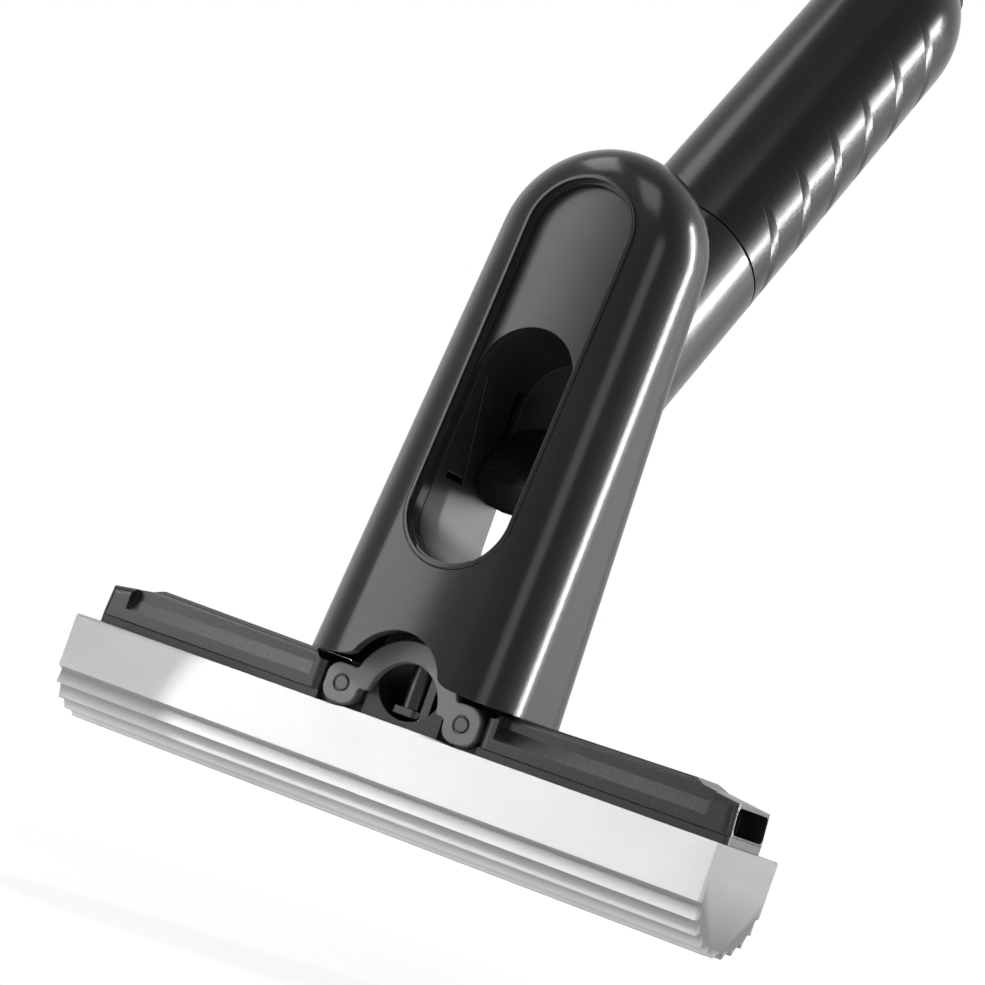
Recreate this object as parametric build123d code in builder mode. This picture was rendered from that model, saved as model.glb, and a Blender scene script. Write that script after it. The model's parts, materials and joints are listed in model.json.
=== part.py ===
"""Hand-held window wiper with a self-squeezing sponge head.

Frame: +X along the sponge, -Y the front, +Z up along the housing.
The origin is the middle of the sponge's working face. All sizes are in millimetres.
"""
from build123d import *
from math import acos, atan2, cos, radians, sin, sqrt, tan
import os

os.makedirs("parts", exist_ok=True)

# ---------------------------------------------------------------- sponge and its wings
sponge_length = 160.0
sponge_depth = 29.5
sponge_height = 21.5
sponge_flank = 10.8  # straight side below the deck
sponge_land = 3.0  # flat strip along the working face
sponge_split = -0.2  # where the two halves meet, beside the middle
sponge_gap = 0.2

deck = sponge_height  # top of the sponge, on which the head stands

plate_thickness = 1.8
plate_start = 14.0
plate_side_inset = 0.5
plate_corner = 1.0
plate_end_inset = 1.5  # plate's outer end, inside the sponge's end
wing_depth = 17.5
wing_start = 20.0
wing_root_height = 9.9  # wing's top above the deck, at the housing
wing_crest_height = 10.6
wing_crest_inset = 13.5  # crest's distance from the sponge's end
wing_shoulder_height = 9.6
wing_shoulder_inset = 11.2
wing_nose_height = 8.4
wing_nose_inset = 1.9
wing_foot_inset = 1.4
wing_relief_height = 8.2  # cut away beside the hinge, so that the wing can fold
wing_relief_end = 22.0
wing_relief_run = 2.2
wing_wall = 1.6
wing_edge_radius = 1.8
bevel_start = 23.0
bevel_end_inset = 7.5
bevel_foot_height = 4.2  # front bevel's lower edge above the deck
bevel_rise = 2.8
bevel_run = 2.5
bevel_edge_radius = 1.4
hollow_width = 9.2
hollow_height = 7.4
mouth_height = 5.4  # rectangular opening in the wing's end
mouth_sill = 2.2
mouth_width = 14.4
mouth_radius = 1.2
wing_screw_stations = (38.0, 64.0)
tongue_screw_x = 23.5
wing_screw_radius = 1.25
wing_screw_head_radius = 2.4
wing_screw_bite = 5.0
wing_boss_radius = 2.6
screw_head_height = 1.2

# ---------------------------------------------------------------- yoke and hinges
pin_offset = 15.0  # hinge axes, each side of the middle
pin_height = 4.8  # above the deck
pin_radius = 1.6
pin_clearance = 0.05
pin_chamfer = 0.2
pin_groove_radius = 2.0
pin_groove_depth = 0.4
lug_radius = 4.2  # half the lug's width
lug_corner_radius = 3.15
arch_inner_radius = 8.4
arch_band = 4.6
arch_height = 4.9  # arch's centre above the deck
yoke_thickness = 2.0
yoke_foot_fillet = 0.9
yoke_armpit_fillet = 0.8
yoke_edge = 0.25
block_depth = 13.6
block_half_width = 9.5
block_height = 18.6
block_bore_radius = 8.0
block_bore_height = 9.5
deck_clearance = 0.3
hub_radius = 4.2
hub_side_clearance = 0.3
tongue_end = 27.0
tongue_thickness = 3.4
link_rod_radius = 2.6
link_foot_radius = 4.2
link_foot_height = 1.6
link_y = -3.2
link_bar_offset = 4.4  # flat bar beside the rod
link_bar_width = 2.0

# ---------------------------------------------------------------- pulling frame and trigger
pull_travel = 11.5
rail_inner = 13.9  # rails stand outside the finger liner
rail_thickness = 2.6
rail_setback = 10.2  # behind the front's reference
rail_width = 4.7
bridge_clearance = 1.6  # from the finger liner up to the bridge over it
bridge_thickness = 3.5
trigger_foot = 49.2  # trigger's lower edge above the deck
trigger_depth = 8.6  # from its back to the foremost line of the finger face
trigger_face_rise = 6.2
trigger_crease_rise = 8.0  # crease between the finger face and the slope above it
trigger_crease_run = 0.6
trigger_foot_run = 1.6
trigger_slope_rise = 16.4
trigger_slope_run = 5.2
trigger_tall = 20.3
trigger_top_run = 6.7
trigger_back_gap = 0.4  # in front of the liner's back wall
trigger_back_rise = 2.4
trigger_side_gap = 0.5
trigger_round = 5.6  # rise of the rounded lower outline
trigger_crown = 7.0  # height of the rounded upper outline
trigger_corner = 0.9
stem_inset = 1.9  # its middle, in front of the trigger's back
stem_deep = 3.0
stem_tall = 7.0
stem_height = 60.0  # stem's middle above the deck
slot_clearance = 0.3
guide_radius = 1.8
guide_length = 17.0
guide_head_radius = 3.2
guide_head_height = 1.2
spring_radius = 3.3
spring_wire = 0.55
spring_turns = 7
spring_seat_rise = 11.0  # above the dome's centre
spring_seat_thickness = 2.4

# ---------------------------------------------------------------- housing
housing_foot = 10.0  # lower edge above the deck
housing_foot_width = 51.0
skirt_drop = 7.0  # rear housing's lower edge, below the front's
dome_radius = 23.0
dome_height = 107.0  # dome's centre above the deck
front_lean = 6.5  # degrees
front_reference_y = -8.2
front_reference_drop = 27.0  # below the dome's centre, where the front has that Y
back_y = 20.8
housing_edge_radius = 12.0
housing_edge_flat = 0.3  # least flat left between the rounded edges, over the dome
housing_wall = 2.4
parting_y = 9.0
notch_radius = 11.2
notch_centre_height = 7.6
notch_shoulder = 19.0  # half width where the notch runs out into the foot
notch_lift = 1.4
screw_x = 19.6
screw_heights = (30.0, 80.0)
screw_boss_radius = 2.7
screw_shank_radius = 1.4
screw_head_radius = 2.5
screw_recess_depth = 8.6
screw_bite = 7.0

# ---------------------------------------------------------------- window, panel and liner
window_foot_height = 33.1
window_top_rise = 14.3  # above the dome's centre
window_radius = 12.9
bezel_proud = 0.35
bezel_edge_radius = 0.3
bezel_band = 0.9
bezel_step_band = 0.7
bezel_step_depth = 1.1
bezel_depth = 4.4
finger_radius = 11.2
finger_top_height = 87.4
panel_depth = 2.5  # panel's face below the front
panel_thickness = 1.9
liner_wall = 1.5
rear_opening_top = 52.0
fit = 0.05
lip_width = 13.2  # curved lip on the bezel's step, at the window's foot
lip_band = 0.55
lip_rise = 0.75
catch_top_y = -1.0  # thin slot in the liner's side, with a wide foot
catch_top_height = 74.9
catch_foot_y = 4.5
catch_foot_height = 52.0
catch_line = 0.45
catch_foot_tall = 1.4
catch_foot_run = 7.8

# ---------------------------------------------------------------- handle
handle_angle = 36.0  # leans back from the housing
seam_y = 42.7
seam_rise = 9.8  # above the dome's centre
handle_radius = 17.3
neck_wall = 2.5
neck_reach = 62.0
tube_radius = 11.0
tube_wall = 1.2
tube_inside = 24.0
tube_end = 100.0
bush_length = 20.0
bush_start = 22.0
seam_ring_radius = 16.7
seam_ring_thickness = 0.6
grip_straight_length = 90.0
grip_nose_curve = 33.0  # radius of the rounded end's side
cap_start = 109.0
cap_length = 7.5
cap_corner = 2.5
cap_stem_radius = 9.6
cap_stem_length = 19.0
cap_flat = 8.0  # half the width across the hanging hole's faces
hanging_hole_radius = 2.0
hanging_hole_inset = 4.1
groove_count = 6
groove_pitch = 14.5
groove_first = 7.6
groove_tilt = 24.0
groove_run = 5.0  # length of the ramp after each groove's edge
groove_hollow = 0.4  # where on the ramp it is shallower
groove_hollow_share = 0.35
groove_depth = 1.35  # on the underside, fading out towards the top
groove_fade = 38.0
neck_screw_station = 12.0
neck_screw_radius = 1.6
neck_screw_head_radius = 3.0
neck_screw_head_height = 1.4
neck_screw_sink = 0.5

# ---------------------------------------------------------------- places worked out from the sizes
quarter_turn = 90
bridge_height = finger_top_height + liner_wall + bridge_clearance  # its underside above the deck
front_reference_height = dome_height - front_reference_drop
spring_seat_height = dome_height + spring_seat_rise
window_top_height = dome_height + window_top_rise
seam_height = dome_height + seam_rise
wing_end = sponge_length / 2 - wing_foot_inset
plate_end = sponge_length / 2 - plate_end_inset
lean = radians(front_lean)
rail_outer = rail_inner + rail_thickness
rail_front = front_reference_y + rail_setback
rail_back = rail_front + rail_width
rail_middle_y = (rail_front + rail_back) / 2
trigger_back_y = back_y - housing_wall - liner_wall - trigger_back_gap
trigger_face_y = trigger_back_y - trigger_depth
stem_y = trigger_back_y - stem_inset
yoke_front_y = -block_depth / 2
pin_z = deck + pin_height
finger_foot_height = window_foot_height + window_radius - finger_radius
through_depth = 2 * back_y - 2 * front_reference_y  # deeper than the housing
window_middle_height = (window_foot_height + window_top_height) / 2


def front_y(height):
    """Y of the housing's leaning front face at a height above the deck."""
    return front_reference_y + (height - front_reference_height) * tan(lean)


dome_depth = back_y - front_y(dome_height + dome_radius)
edge_share = 1 + tan(radians(quarter_turn - front_lean) / 2)  # of the depth, for both edges' rounds
edge_radius = min(housing_edge_radius, (dome_depth - housing_edge_flat) / edge_share)


def window_plane(depth=0.0):
    """Plane of the window, a depth below the housing's front face."""
    face = Plane(
        origin=(0, front_y(window_middle_height), deck + window_middle_height),
        x_dir=(1, 0, 0),
        z_dir=(0, -cos(lean), sin(lean)),
    )
    return face.offset(-depth)


def side_plane(x):
    """Plane across the sponge at x, looking along +X, with local x along +Y."""
    return Plane(origin=(x, 0, 0), x_dir=(0, 1, 0), z_dir=(1, 0, 0))


def handle_plane(station=0.0):
    """Plane across the handle, a station above the seam with the neck."""
    tilt = radians(handle_angle)
    seam = Plane(
        origin=(0, seam_y, deck + seam_height),
        x_dir=(1, 0, 0),
        z_dir=(0, sin(tilt), cos(tilt)),
    )
    return seam.offset(station)


def front_plane(y):
    """Upright plane facing the front, with local y along +Z."""
    return Plane(origin=(0, y, 0), x_dir=(1, 0, 0), z_dir=(0, -1, 0))


def finish(block, name):
    """Name a finished piece and write it."""
    block.part.label = name
    export_step(block.part, f"parts/{name}.step")


def stadium_solid(radius, foot, top, depth_from, depth_to):
    """Stadium prism square to the window, between two depths below the front."""
    middle = (foot + top) / 2 - window_middle_height
    with BuildPart() as prism:
        with BuildSketch(window_plane(depth_from)):
            with Locations((0, middle / cos(lean))):
                SlotOverall((top - foot) / cos(lean), 2 * radius, rotation=90)
        extrude(amount=depth_from - depth_to)
    return prism.part


def housing_form(inset, overrun=0.0):
    """Housing's closed outer form, shrunk by an inset and run on below its foot."""
    radius = dome_radius - inset
    foot_x = housing_foot_width / 2 - inset
    foot_z = deck + housing_foot
    dome_z = deck + dome_height
    reach = sqrt(foot_x**2 + (dome_z - foot_z) ** 2)
    turn = atan2(foot_z - dome_z, foot_x) + acos(radius / reach)
    touch = (radius * cos(turn), dome_z + radius * sin(turn))
    slope = (foot_x - touch[0]) / (touch[1] - foot_z)
    low_x = foot_x + slope * overrun
    with BuildPart() as form:
        with BuildSketch(front_plane(0)):
            with BuildLine():
                Line((-low_x, foot_z - overrun), (low_x, foot_z - overrun))
                Line((low_x, foot_z - overrun), touch)
                ThreePointArc(touch, (0, dome_z + radius), (-touch[0], touch[1]))
                Line((-touch[0], touch[1]), (-low_x, foot_z - overrun))
            make_face()
        extrude(amount=3 * dome_radius, both=True)
        split(bisect_by=window_plane(inset), keep=Keep.BOTTOM)
        split(bisect_by=front_plane(back_y - inset), keep=Keep.TOP)
        front_rim = form.faces().sort_by(Axis.Y)[0].edges().sort_by(Axis.Z)[1:]
        back_rim = form.faces().sort_by(Axis.Y)[-1].edges().sort_by(Axis.Z)[1:]
        fillet(front_rim + back_rim, edge_radius - inset)
    return form.part


def notch_solid():
    """Arched notch in the housing's foot that shows the yoke."""
    low = deck + housing_foot - housing_wall
    centre_z = deck + notch_centre_height
    shoulder_z = deck + housing_foot + notch_lift
    half = sqrt(notch_radius**2 - (shoulder_z + notch_lift - centre_z) ** 2)
    with BuildPart() as notch:
        with BuildSketch(front_plane(0)):
            with BuildLine():
                ThreePointArc(
                    (half, shoulder_z + notch_lift),
                    (0, centre_z + notch_radius),
                    (-half, shoulder_z + notch_lift),
                )
                Spline(
                    (-half, shoulder_z + notch_lift),
                    (-notch_shoulder, deck + housing_foot),
                    tangents=((-0.3, -1), (-1, -0.15)),
                )
                Line((-notch_shoulder, deck + housing_foot), (-notch_shoulder, low))
                Line((-notch_shoulder, low), (notch_shoulder, low))
                Line((notch_shoulder, low), (notch_shoulder, deck + housing_foot))
                Spline(
                    (notch_shoulder, deck + housing_foot),
                    (half, shoulder_z + notch_lift),
                    tangents=((-1, 0.15), (-0.3, 1)),
                )
            make_face()
        extrude(amount=2 * dome_radius, both=True)
    return notch.part


housing_outer = housing_form(0.0)
rear_outer = housing_form(0.0, overrun=skirt_drop)
housing_cavity = housing_form(housing_wall, overrun=2 * skirt_drop)
notch = notch_solid()
finger_foot_outer = finger_foot_height - liner_wall
finger_top_outer = finger_top_height + liner_wall
liner_radius = finger_radius + liner_wall
liner_seat = stadium_solid(
    liner_radius + fit, finger_foot_outer - fit, finger_top_outer + fit, 0, through_depth
)
window_seat = stadium_solid(
    window_radius + fit,
    window_foot_height - fit,
    window_top_height + fit,
    -bezel_depth,
    bezel_depth + fit,
)

# ---------------------------------------------------------------- front housing
with BuildPart() as front_housing:
    add(housing_outer)
    add(housing_cavity, mode=Mode.SUBTRACT)
    for height in screw_heights:
        with BuildSketch(front_plane(parting_y)):
            with Locations((screw_x, deck + height), (-screw_x, deck + height)):
                Circle(screw_boss_radius)
        extrude(amount=parting_y - front_y(height) - housing_wall / 2)
    add(housing_outer, mode=Mode.INTERSECT)
    split(bisect_by=front_plane(parting_y), keep=Keep.TOP)
    add(notch, mode=Mode.SUBTRACT)
    add(window_seat, mode=Mode.SUBTRACT)
    for height in screw_heights:
        with BuildSketch(front_plane(parting_y)):
            with Locations((screw_x, deck + height), (-screw_x, deck + height)):
                Circle(screw_shank_radius + fit)
        extrude(amount=screw_bite + fit, mode=Mode.SUBTRACT)
finish(front_housing, "front_housing")

# ---------------------------------------------------------------- rear housing with its neck
with BuildPart() as neck:
    with BuildSketch(handle_plane()):
        Circle(handle_radius)
    extrude(amount=-neck_reach)
    add(housing_cavity, mode=Mode.SUBTRACT)
    split(bisect_by=front_plane(parting_y), keep=Keep.BOTTOM)
    neck_root = neck.part.solids().sort_by(Axis.Y)[-1]

with BuildPart() as rear_mouth:
    add(liner_seat)
    split(bisect_by=Plane.XY.offset(deck + rear_opening_top), keep=Keep.BOTTOM)

with BuildPart() as rear_housing:
    add(rear_outer)
    add(housing_cavity, mode=Mode.SUBTRACT)
    for height in screw_heights:
        with BuildSketch(front_plane(parting_y)):
            with Locations((screw_x, deck + height), (-screw_x, deck + height)):
                Circle(screw_boss_radius)
        extrude(amount=parting_y - back_y + housing_wall / 2)
    add(rear_outer, mode=Mode.INTERSECT)
    split(bisect_by=front_plane(parting_y), keep=Keep.BOTTOM)
    add(neck_root)
    with BuildSketch(handle_plane()):
        Circle(handle_radius - neck_wall)
    extrude(amount=-neck_reach, mode=Mode.SUBTRACT)
    for height in screw_heights:
        with BuildSketch(front_plane(parting_y)):
            with Locations((screw_x, deck + height), (-screw_x, deck + height)):
                Circle(screw_shank_radius + fit)
        extrude(amount=parting_y - back_y, mode=Mode.SUBTRACT)
        with BuildSketch(front_plane(back_y)):
            with Locations((screw_x, deck + height), (-screw_x, deck + height)):
                Circle(screw_head_radius + fit)
        extrude(amount=screw_recess_depth, mode=Mode.SUBTRACT)
    add(rear_mouth.part, mode=Mode.SUBTRACT)

with BuildPart() as housing_screws:
    for height in screw_heights:
        with BuildSketch(front_plane(back_y - screw_recess_depth)):
            with Locations((screw_x, deck + height), (-screw_x, deck + height)):
                Circle(screw_shank_radius)
        extrude(amount=back_y - screw_recess_depth - parting_y + screw_bite)
        with BuildSketch(front_plane(back_y - screw_recess_depth)):
            with Locations((screw_x, deck + height), (-screw_x, deck + height)):
                Circle(screw_head_radius)
        extrude(amount=-2 * screw_head_height)
    for height in screw_heights:
        with BuildSketch(front_plane(back_y - screw_recess_depth + 2 * screw_head_height)):
            with Locations((screw_x, deck + height), (-screw_x, deck + height)):
                Rectangle(screw_head_radius, screw_head_radius / 4)
                Rectangle(screw_head_radius / 4, screw_head_radius)
        extrude(amount=screw_head_height, mode=Mode.SUBTRACT)
finish(housing_screws, "housing_screws")

# ---------------------------------------------------------------- window bezel, panel and finger liner
bezel_inner = window_radius - bezel_band
step_inner = bezel_inner - bezel_step_band
inner_foot = window_foot_height + bezel_band
inner_top = window_top_height - bezel_band
step_foot = inner_foot + bezel_step_band
step_top = inner_top - bezel_step_band
foot_arc_middle = (window_foot_height - window_middle_height) / cos(lean) + window_radius
with BuildPart() as window_bezel:
    add(stadium_solid(window_radius, window_foot_height, window_top_height, -bezel_proud, bezel_depth))
    proud_rim = window_bezel.faces().sort_by(Axis.Y)[0].edges()
    fillet(proud_rim, bezel_edge_radius)
    add(
        stadium_solid(bezel_inner, inner_foot, inner_top, -bezel_depth, bezel_step_depth),
        mode=Mode.SUBTRACT,
    )
    add(
        stadium_solid(step_inner, step_foot, step_top, -bezel_depth, 2 * bezel_depth),
        mode=Mode.SUBTRACT,
    )
    with BuildSketch(window_plane(bezel_step_depth)):
        with Locations((0, foot_arc_middle)):
            Circle(bezel_inner)
            Circle(bezel_inner - lip_band, mode=Mode.SUBTRACT)
            Rectangle(
                lip_width, 2 * bezel_inner, align=(Align.CENTER, Align.MAX), mode=Mode.INTERSECT
            )
    extrude(amount=lip_rise)
finish(window_bezel, "window_bezel")

panel_back = panel_depth + panel_thickness
arch_top = finger_top_height - finger_radius
with BuildPart() as window_panel:
    add(
        stadium_solid(step_inner - fit, step_foot + fit, step_top - fit, panel_depth, panel_back)
    )
    split(bisect_by=Plane.XY.offset(deck + arch_top), keep=Keep.TOP)
    add(
        stadium_solid(finger_radius, finger_foot_height, finger_top_height, 0, 2 * panel_back),
        mode=Mode.SUBTRACT,
    )
finish(window_panel, "window_panel")

with BuildPart() as finger_room:
    add(stadium_solid(finger_radius, finger_foot_height, finger_top_height, 0, through_depth))
    with BuildSketch(front_plane(back_y - housing_wall - liner_wall)):
        with Locations((0, deck + rear_opening_top - liner_wall)):
            Rectangle(4 * finger_radius, 4 * dome_radius, align=(Align.CENTER, Align.MIN))
    extrude(amount=-through_depth, mode=Mode.SUBTRACT)

liner_front = bezel_depth + fit
slot_bottom = stem_height - stem_tall / 2 - slot_clearance
slot_top = stem_height + stem_tall / 2 + pull_travel + slot_clearance
catch_low = deck + catch_foot_height
with BuildPart() as finger_liner:
    add(stadium_solid(liner_radius, finger_foot_outer, finger_top_outer, liner_front, through_depth))
    split(bisect_by=front_plane(back_y), keep=Keep.TOP)
    with BuildSketch(front_plane(back_y - housing_wall - fit)):
        with Locations((0, deck + rear_opening_top - fit)):
            Rectangle(4 * finger_radius, 4 * dome_radius, align=(Align.CENTER, Align.MIN))
    extrude(amount=-through_depth, mode=Mode.SUBTRACT)
    add(finger_room.part, mode=Mode.SUBTRACT)
    with BuildSketch(side_plane(0)):
        with Locations((stem_y, deck + (slot_bottom + slot_top) / 2)):
            Rectangle(stem_deep + 2 * slot_clearance, slot_top - slot_bottom)
        Polygon(
            (catch_foot_y, catch_low),
            (catch_top_y, deck + catch_top_height),
            (catch_top_y - catch_line, deck + catch_top_height),
            (catch_foot_y - 2 * catch_line, catch_low + catch_foot_tall),
            (catch_foot_y - catch_foot_run, catch_low + catch_foot_tall),
            (catch_foot_y - catch_foot_run, catch_low),
            align=None,
        )
    extrude(amount=2 * liner_radius, both=True, mode=Mode.SUBTRACT)
finish(finger_liner, "finger_liner")

# ---------------------------------------------------------------- spring seat in the dome
with BuildPart() as spring_seat:
    with BuildSketch(Plane.XY.offset(deck + spring_seat_height)):
        Rectangle(4 * dome_radius, 4 * dome_radius)
    extrude(amount=spring_seat_thickness)
    add(housing_form(housing_wall + fit), mode=Mode.INTERSECT)
    add(window_seat, mode=Mode.SUBTRACT)
    with BuildSketch(Plane.XY.offset(deck + spring_seat_height)):
        with Locations((0, rail_middle_y)):
            Circle(guide_radius + slot_clearance)
    extrude(amount=spring_seat_thickness, mode=Mode.SUBTRACT)
finish(spring_seat, "spring_seat")

# ---------------------------------------------------------------- trigger and its pulling frame
trigger_half_length = finger_radius - trigger_side_gap
trigger_low = deck + trigger_foot
with BuildPart() as trigger:
    with BuildSketch(side_plane(-trigger_half_length)) as trigger_profile:
        Polygon(
            (trigger_face_y + trigger_foot_run, trigger_low),
            (trigger_face_y, trigger_low + trigger_face_rise),
            (trigger_face_y + trigger_crease_run, trigger_low + trigger_crease_rise),
            (trigger_face_y + trigger_slope_run, trigger_low + trigger_slope_rise),
            (trigger_face_y + trigger_top_run, trigger_low + trigger_tall),
            (trigger_back_y, trigger_low + trigger_tall),
            (trigger_back_y, trigger_low + trigger_back_rise),
            align=None,
        )
        fillet(trigger_profile.vertices(), trigger_corner)
    extrude(amount=2 * trigger_half_length)
    with BuildSketch(front_plane(0)):
        with Locations((0, trigger_low + trigger_round)):
            Ellipse(trigger_half_length, trigger_round)
            Rectangle(
                2 * trigger_half_length,
                trigger_tall - trigger_round - trigger_crown,
                align=(Align.CENTER, Align.MIN),
            )
        with Locations((0, trigger_low + trigger_tall - trigger_crown)):
            Ellipse(trigger_half_length, trigger_crown)
    extrude(amount=-2 * trigger_back_y, mode=Mode.INTERSECT)
    with BuildSketch(side_plane(-rail_inner)):
        with Locations((stem_y, deck + stem_height)):
            Rectangle(stem_deep, stem_tall)
    extrude(amount=2 * rail_inner)
finish(trigger, "trigger")

foot_low = deck + block_height - bridge_thickness - rail_thickness / 2
frame_top = deck + bridge_height + bridge_thickness
with BuildPart() as pull_frame:
    with BuildSketch(front_plane(rail_back)):
        with Locations((0, foot_low)):
            Rectangle(2 * rail_outer, frame_top - foot_low, align=(Align.CENTER, Align.MIN))
        with Locations((0, foot_low + bridge_thickness)):
            Rectangle(
                2 * rail_inner,
                deck + bridge_height - foot_low - bridge_thickness,
                align=(Align.CENTER, Align.MIN),
                mode=Mode.SUBTRACT,
            )
        with Locations((0, foot_low)):
            Rectangle(
                2 * block_half_width,
                bridge_thickness,
                align=(Align.CENTER, Align.MIN),
                mode=Mode.SUBTRACT,
            )
    extrude(amount=rail_width)
    with BuildSketch(side_plane(rail_inner), side_plane(-rail_outer)):
        with Locations((rail_front, deck + stem_height)):
            Rectangle(
                stem_y + stem_deep / 2 - rail_front, stem_tall, align=(Align.MIN, Align.CENTER)
            )
    extrude(amount=rail_thickness)
finish(pull_frame, "pull_frame")

with BuildPart() as spring_guide:
    with BuildSketch(Plane.XY.offset(frame_top)):
        with Locations((0, rail_middle_y)):
            Circle(guide_head_radius)
    extrude(amount=guide_head_height)
    with BuildSketch(Plane.XY.offset(frame_top + guide_head_height)):
        with Locations((0, rail_middle_y)):
            Circle(guide_radius)
    extrude(amount=guide_length)
    chamfer(spring_guide.faces().sort_by(Axis.Z)[-1].edges(), guide_radius / 4)
finish(spring_guide, "spring_guide")

spring_foot = frame_top + guide_head_height
spring_rise = deck + spring_seat_height - spring_foot - 2 * spring_wire
with BuildPart() as return_spring:
    with BuildLine():
        coil = Helix(
            pitch=spring_rise / spring_turns,
            height=spring_rise,
            radius=spring_radius - spring_wire,
            center=(0, rail_middle_y, spring_foot + spring_wire),
        )
    with BuildSketch(Plane(origin=coil @ 0, z_dir=coil % 0)):
        Circle(spring_wire)
    sweep(is_frenet=True)
finish(return_spring, "return_spring")

# ---------------------------------------------------------------- yoke, block, link and hinge pins
arch_z = deck + arch_height
arch_outer_radius = arch_inner_radius + arch_band
band_middle = arch_inner_radius + arch_band / 2


def yoke_plate(outer_y):
    """Dog-bone arch plate with a lug round each hinge pin, its outer face at outer_y."""
    outward = 1 if outer_y > 0 else -1
    face = Plane(origin=(0, outer_y, 0), x_dir=(-outward, 0, 0), z_dir=(0, outward, 0))
    with BuildPart() as plate:
        with BuildSketch(face) as outline:
            with Locations((0, arch_z)):
                Circle(arch_outer_radius)
                Circle(arch_inner_radius, mode=Mode.SUBTRACT)
                Rectangle(
                    4 * arch_outer_radius,
                    2 * arch_outer_radius,
                    align=(Align.CENTER, Align.MAX),
                    mode=Mode.SUBTRACT,
                )
            with Locations((-pin_offset, pin_z), (pin_offset, pin_z)):
                RectangleRounded(2 * lug_radius, 2 * lug_radius, lug_corner_radius)
            corners = outline.vertices()
            feet = corners.filter_by(lambda v: abs(v.Y - arch_z) < fit)
            fillet(feet, yoke_foot_fillet)
            armpits = outline.vertices().filter_by(
                lambda v: v.Y > pin_z + lug_radius / 2 and band_middle < abs(v.X) < arch_outer_radius
            )
            fillet(armpits, yoke_armpit_fillet)
        extrude(amount=-yoke_thickness)
        flat_faces = plate.faces().filter_by(Plane.XZ).sort_by(Axis.Y)
        outer_face = flat_faces[-1] if outward > 0 else flat_faces[0]
        chamfer(outer_face.edges(), yoke_edge)
        with BuildSketch(face):
            with Locations((-pin_offset, pin_z), (pin_offset, pin_z)):
                Circle(pin_radius + fit)
        extrude(amount=-yoke_thickness, mode=Mode.SUBTRACT)
        with BuildSketch(face):
            with Locations((-pin_offset, pin_z), (pin_offset, pin_z)):
                Circle(pin_groove_radius)
        extrude(amount=-pin_groove_depth, mode=Mode.SUBTRACT)
    return plate


yoke_outer_y = block_depth / 2 + yoke_thickness
yoke_front = yoke_plate(-yoke_outer_y)
finish(yoke_front, "yoke_front")
yoke_rear = yoke_plate(yoke_outer_y)
finish(yoke_rear, "yoke_rear")

with BuildPart() as yoke_block:
    with BuildSketch(front_plane(yoke_front_y)):
        with Locations((0, deck + deck_clearance)):
            Rectangle(
                2 * block_half_width,
                block_height - deck_clearance,
                align=(Align.CENTER, Align.MIN),
            )
        with Locations((0, deck + block_bore_height)):
            Circle(block_bore_radius, mode=Mode.SUBTRACT)
    extrude(amount=-block_depth)
finish(yoke_block, "yoke_block")

bore_top = deck + block_bore_height + block_bore_radius
foot_z = deck + block_bore_height - sqrt(block_bore_radius**2 - link_foot_radius**2)
with BuildPart() as link_rod:
    with BuildSketch(Plane.XY.offset(foot_z)):
        with Locations((0, link_y)):
            Circle(link_foot_radius)
    extrude(amount=link_foot_height)
    with BuildSketch(Plane.XY.offset(foot_z)):
        with Locations((0, link_y)):
            Circle(link_rod_radius)
        with Locations((link_bar_offset, link_y)):
            Rectangle(link_bar_width, 2 * link_rod_radius)
    extrude(amount=bore_top - foot_z)
    with BuildSketch(front_plane(yoke_front_y)):
        with Locations((0, deck + block_bore_height)):
            Circle(block_bore_radius - fit)
    extrude(amount=-block_depth, mode=Mode.INTERSECT)
finish(link_rod, "link_rod")

for side, sign in (("left", -1), ("right", 1)):
    with BuildPart() as hinge_pin:
        with BuildSketch(front_plane(-yoke_outer_y)):
            with Locations((sign * pin_offset, pin_z)):
                Circle(pin_radius)
        extrude(amount=-2 * yoke_outer_y)
        chamfer(hinge_pin.faces().filter_by(Plane.XZ).edges(), pin_chamfer)
    finish(hinge_pin, f"hinge_pin_{side}")


# ---------------------------------------------------------------- wings
hub_width = block_depth - 2 * hub_side_clearance
tongue_low = deck + plate_thickness
tongue_width = hollow_width - 2 * fit
screw_places = (tongue_screw_x,) + wing_screw_stations


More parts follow.
